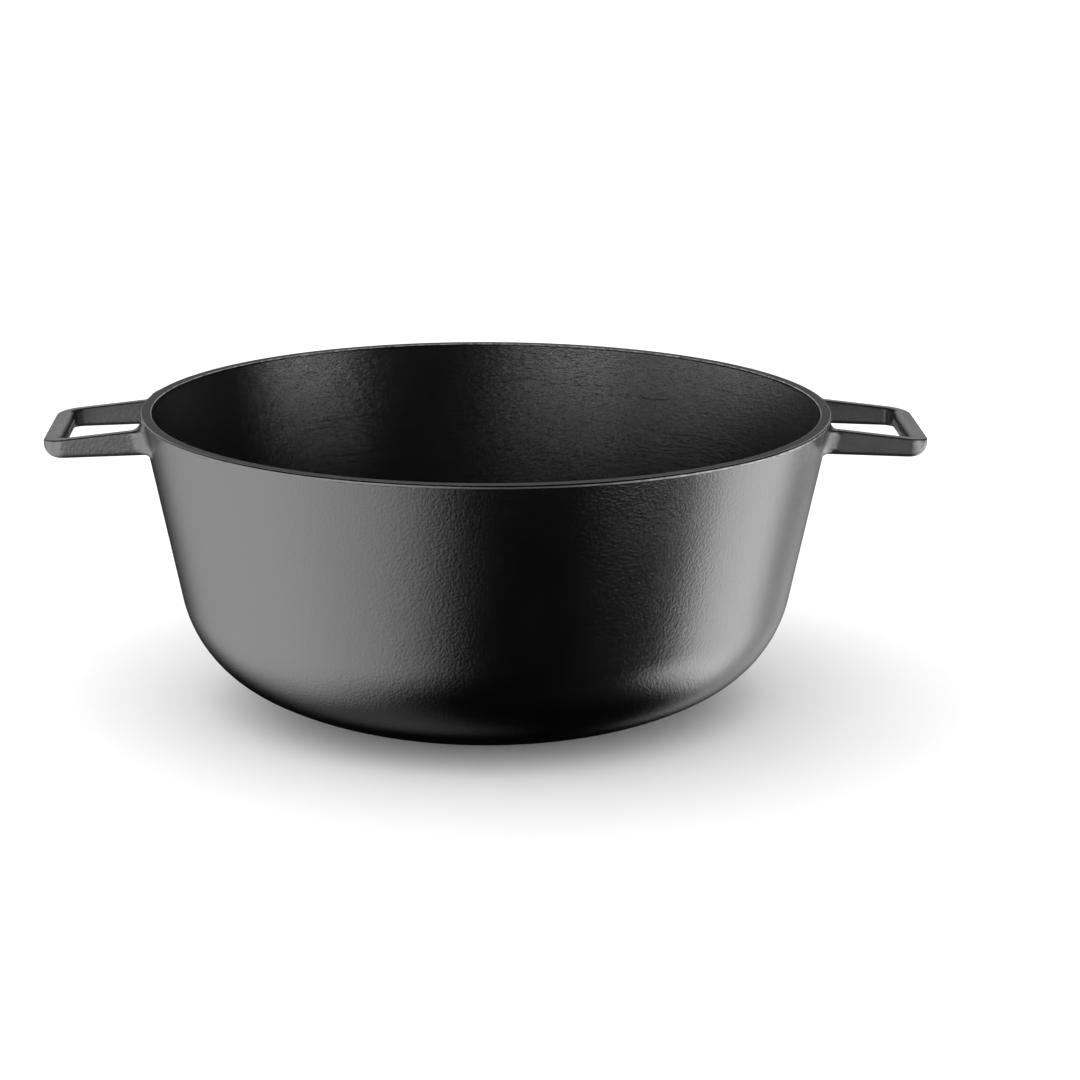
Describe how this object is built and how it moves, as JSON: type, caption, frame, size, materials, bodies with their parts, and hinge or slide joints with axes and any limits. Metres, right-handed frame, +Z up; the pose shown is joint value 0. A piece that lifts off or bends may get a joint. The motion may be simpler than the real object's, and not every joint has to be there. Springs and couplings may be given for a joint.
{
  "type": "cast iron dutch oven",
  "caption": "Round cast iron pot, open at the top, with tapered walls, a wide rounded corner, a flat base, a ground rim and a loop handle on each side.",
  "frame": {"origin": "centre of the flat base, on the surface the pot stands on", "axes": "+Z up the pot's axis, +X towards the right handle, +Y away from a viewer who has the handles left and right"},
  "size_m": [0.3552, 0.2812, 0.121],
  "materials": {
    "coated_iron": "satin black baked coating over a fine cast texture",
    "ground_rim": "flat ground rim, dark and satin, with bright edges"
  },
  "bodies": {
    "root": {"bowl": "coated_iron", "rim_band": "ground_rim", "handle_right": "coated_iron", "handle_left": "coated_iron"}
  },
  "joints": []
}
